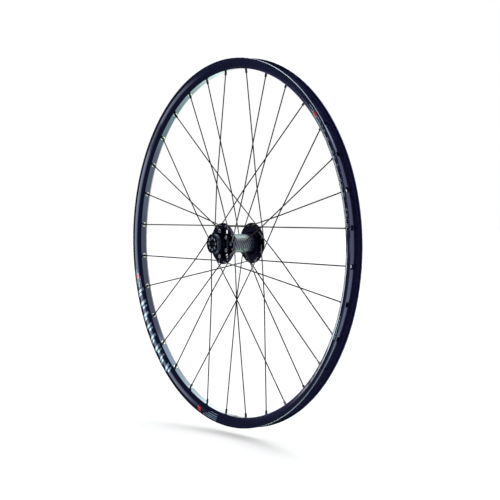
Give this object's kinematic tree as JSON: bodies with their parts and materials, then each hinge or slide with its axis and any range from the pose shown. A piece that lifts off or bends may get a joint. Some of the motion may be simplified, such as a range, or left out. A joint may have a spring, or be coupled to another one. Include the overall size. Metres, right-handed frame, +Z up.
{
  "type": "bicycle front wheel without tyre",
  "caption": "Spoked mountain-bike front wheel: double-wall rim, crossed steel spokes, disc-brake hub on cartridge bearings with thru-axle end caps.",
  "frame": {"origin": "wheel's centre: the spin axis at the rim's middle plane", "axes": "+Y along the spin axis, away from the brake disc's side; +Z up; +X completes the right-handed frame"},
  "size_m": [0.636, 0.1, 0.636],
  "materials": {
    "rim_black": "black anodised, satin gloss",
    "sleeve_alu": "mill finish",
    "eyelet_steel": "nickel plated steel",
    "spoke_steel": "black oxide stainless steel",
    "nipple_brass": "black plated brass",
    "hub_black": "black anodised, barrel turned bright",
    "bearing_steel": "ground bearing steel",
    "cage_plastic": "moulded nylon",
    "seal_rubber": "moulded rubber",
    "axle_alu": "turned",
    "cap_black": "black anodised"
  },
  "bodies": {
    "axle": {"axle_tube": "axle_alu", "left_end_cap": "cap_black", "left_bearing_inner_ring": "bearing_steel", "left_cap_o_ring": "seal_rubber", "right_end_cap": "cap_black", "right_bearing_inner_ring": "bearing_steel", "right_cap_o_ring": "seal_rubber"},
    "wheel": {"rim": "rim_black", "rim_joint_sleeve": "sleeve_alu", "rim_eyelets": "eyelet_steel", "hub_shell": "hub_black", "left_leading_spokes": "spoke_steel", "left_trailing_spokes": "spoke_steel", "left_nipples": "nipple_brass", "left_bearing_outer_ring": "bearing_steel", "left_bearing_shields": "seal_rubber", "left_dust_seal": "seal_rubber", "right_leading_spokes": "spoke_steel", "right_trailing_spokes": "spoke_steel", "right_nipples": "nipple_brass", "right_bearing_outer_ring": "bearing_steel", "right_bearing_shields": "seal_rubber", "right_dust_seal": "seal_rubber"},
    "left_cage": {"left_bearing_balls": "bearing_steel", "left_bearing_cage": "cage_plastic"},
    "right_cage": {"right_bearing_balls": "bearing_steel", "right_bearing_cage": "cage_plastic"}
  },
  "joints": [
    {"name": "wheel_spin", "type": "hinge", "parent": "axle", "child": "wheel", "pos_m": [0, 0, 0], "axis": [0, 1, 0], "continuous": true},
    {"name": "left_cage_orbit", "type": "hinge", "parent": "axle", "child": "left_cage", "pos_m": [0, 0, 0], "axis": [0, 1, 0], "continuous": true},
    {"name": "right_cage_orbit", "type": "hinge", "parent": "axle", "child": "right_cage", "pos_m": [0, 0, 0], "axis": [0, 1, 0], "continuous": true}
  ],
  "couplings": [
    {"joint": "left_cage_orbit", "follows": "wheel_spin", "ratio": 0.5851},
    {"joint": "right_cage_orbit", "follows": "wheel_spin", "ratio": 0.5851}
  ]
}
